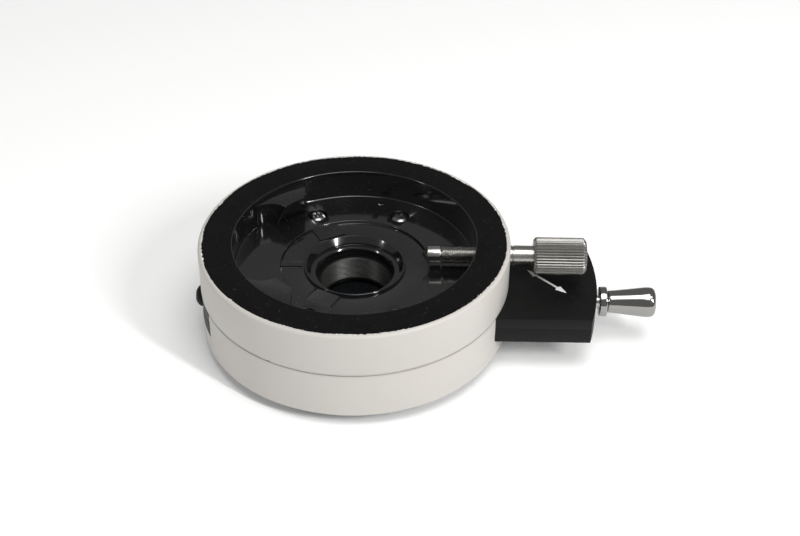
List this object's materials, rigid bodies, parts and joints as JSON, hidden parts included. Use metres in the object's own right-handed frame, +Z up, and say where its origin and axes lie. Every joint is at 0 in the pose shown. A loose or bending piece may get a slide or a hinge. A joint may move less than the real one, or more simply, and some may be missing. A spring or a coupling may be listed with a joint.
{
  "type": "intermediate head ring with slide-in polariser",
  "caption": "Round two-tier adapter ring with a dovetail tube socket, a clamp screw and a slide-in polariser in a cross bar.",
  "frame": {"origin": "on the light axis, at the bottom face of the lower ring", "axes": "+Z up along the light axis towards the tube socket, +X along the clamp screw and the housing bar, towards the pull knob"},
  "size_m": [0.1492, 0.1, 0.035],
  "materials": {
    "white_enamel": "gloss",
    "black_gloss": "gloss",
    "black_satin": "satin",
    "stainless": "turned",
    "polished_chrome": "polished",
    "bronze": "satin",
    "bare_aluminium": "satin",
    "white_fill": "matte",
    "polariser_film": "polished"
  },
  "bodies": {
    "ring_body": {"upper_ring": "white_enamel", "lower_ring": "white_enamel", "centre_ring": "black_gloss", "jaw_left": "black_gloss", "jaw_right": "black_gloss", "jaw_screws": "stainless", "floor_screws": "polished_chrome", "dowel_pins": "stainless", "button_screw": "black_satin", "foot_flange": "bare_aluminium", "foot_screws": "stainless", "housing_base": "black_satin", "housing_cover": "black_satin", "housing_screws": "stainless", "arrow_inlay": "white_fill", "guide_bush": "bronze", "detent_ball": "polished_chrome", "detent_spring": "stainless", "detent_plug": "stainless"},
    "slider": {"slider_frame": "black_satin", "polariser_cell": "bare_aluminium", "polariser_glass": "polariser_film", "glass_ring": "black_satin", "pull_rod": "stainless", "rod_pin": "stainless", "pull_collar": "polished_chrome", "pull_knob": "polished_chrome"},
    "clamp_tip": {"thrust_tip": "stainless"},
    "clamp_screw": {"thumbscrew": "stainless"}
  },
  "joints": [
    {"name": "polariser_slide", "type": "slide", "parent": "ring_body", "child": "slider", "axis": [1, 0, 0], "range_m": [0, 0.028]},
    {"name": "clamp_advance", "type": "slide", "parent": "ring_body", "child": "clamp_tip", "axis": [1, 0, 0], "range_m": [-0.00675, 0.012]},
    {"name": "clamp_turn", "type": "hinge", "parent": "clamp_tip", "child": "clamp_screw", "pos_m": [0.06, 0, 0.025], "axis": [1, 0, 0], "range_deg": [-3240.5, 5760.5]}
  ],
  "couplings": [
    {"joint": "clamp_turn", "follows": "clamp_advance", "rad_per_m": 8377.6}
  ]
}
